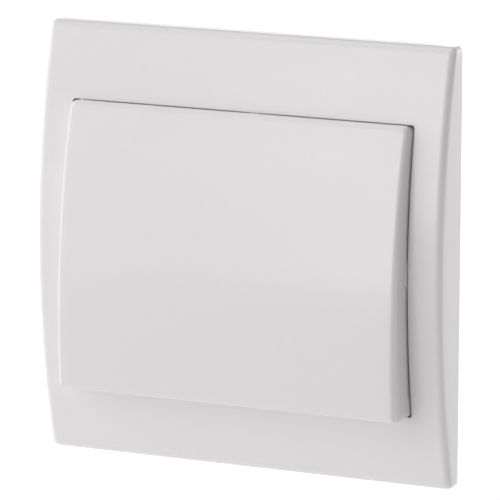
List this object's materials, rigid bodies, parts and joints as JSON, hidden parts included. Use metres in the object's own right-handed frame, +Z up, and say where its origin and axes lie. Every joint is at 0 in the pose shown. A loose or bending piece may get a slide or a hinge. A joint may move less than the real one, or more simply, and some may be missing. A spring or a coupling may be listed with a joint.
{
  "type": "rocker wall switch",
  "caption": "White one-gang rocker wall switch with a bowed square cover plate, wide rocker, steel mounting bridge and see-saw contact insert.",
  "frame": {"origin": "centre of the 60 mm fixing pattern, in the wall plane that the plate's rim and the bridge rest on", "axes": "+X to the right seen from the front, +Z up, +Y into the wall; the rocker faces -Y"},
  "size_m": [0.081, 0.0394, 0.081],
  "materials": {
    "gloss_white": "gloss",
    "rocker_white": "gloss",
    "cradle_grey": "satin",
    "plunger_ivory": "satin",
    "spring_steel": "satin",
    "contact_brass": "satin",
    "contact_copper": "satin",
    "contact_silver": "satin",
    "housing_white": "satin",
    "cover_grey": "satin",
    "rear_grey": "satin",
    "bridge_zinc": "zinc plated",
    "screw_zinc": "zinc plated",
    "claw_zinc": "zinc plated",
    "button_orange": "satin"
  },
  "bodies": {
    "insert": {"cover_frame": "gloss_white", "fixed_contact": "contact_brass", "fixed_contact_tip": "contact_silver", "common_contact": "contact_brass", "housing": "housing_white", "housing_cover": "cover_grey", "rear_cover": "rear_grey", "mounting_bridge": "bridge_zinc", "frame_clips": "spring_steel", "body_screws": "screw_zinc", "clamp_spring_left": "spring_steel", "clamp_spring_right": "spring_steel"},
    "rocker_group": {"rocker": "rocker_white", "cradle": "cradle_grey", "plunger_spring": "spring_steel"},
    "plunger": {"plunger": "plunger_ivory"},
    "see_saw": {"contact_arm": "contact_copper", "moving_contact_tip": "contact_silver"},
    "claw_left": {"claw_left": "claw_zinc"},
    "claw_right": {"claw_right": "claw_zinc"},
    "claw_screw_left": {"claw_screw_left": "screw_zinc"},
    "claw_screw_right": {"claw_screw_right": "screw_zinc"},
    "release_button_left": {"release_button_left": "button_orange"},
    "release_button_right": {"release_button_right": "button_orange"}
  },
  "joints": [
    {"name": "rocker_hinge", "type": "hinge", "parent": "insert", "child": "rocker_group", "pos_m": [0, -0.0087, 0], "axis": [1, 0, 0], "range_deg": [0, 11]},
    {"name": "plunger_slide", "type": "slide", "parent": "rocker_group", "child": "plunger", "axis": [0, -0.9954, 0.0958], "range_m": [0, 0.0008], "stiffness_N_per_m": 400, "springref_m": -0.0005, "deforming": ["plunger_spring"]},
    {"name": "contact_hinge", "type": "hinge", "parent": "insert", "child": "see_saw", "pos_m": [0, 0.0116, 0], "axis": [1, 0, 0], "range_deg": [-20, 0]},
    {"name": "claw_screw_left_spin", "type": "hinge", "parent": "insert", "child": "claw_screw_left", "pos_m": [-0.0242, 0, -0.009], "axis": [0, 1, 0], "range_deg": [0, 2160]},
    {"name": "claw_left_swing", "type": "hinge", "parent": "insert", "child": "claw_left", "pos_m": [-0.0216, 0.0035, -0.009], "axis": [0, 0, 1], "range_deg": [0, 12]},
    {"name": "release_left_press", "type": "slide", "parent": "insert", "child": "release_button_left", "axis": [0, -1, 0], "range_m": [0, 0.0012], "stiffness_N_per_m": 300, "springref_m": -0.001},
    {"name": "claw_screw_right_spin", "type": "hinge", "parent": "insert", "child": "claw_screw_right", "pos_m": [0.0242, 0, -0.009], "axis": [0, 1, 0], "range_deg": [0, 2160]},
    {"name": "claw_right_swing", "type": "hinge", "parent": "insert", "child": "claw_right", "pos_m": [0.0216, 0.0035, -0.009], "axis": [0, 0, -1], "range_deg": [0, 12]},
    {"name": "release_right_press", "type": "slide", "parent": "insert", "child": "release_button_right", "axis": [0, -1, 0], "range_m": [0, 0.0012], "stiffness_N_per_m": 300, "springref_m": -0.001}
  ],
  "couplings": [
    {"joint": "contact_hinge", "follows": "rocker_hinge", "ratio": -1.8182},
    {"joint": "claw_left_swing", "follows": "claw_screw_left_spin", "ratio": 0.005555},
    {"joint": "claw_right_swing", "follows": "claw_screw_right_spin", "ratio": 0.005555}
  ]
}
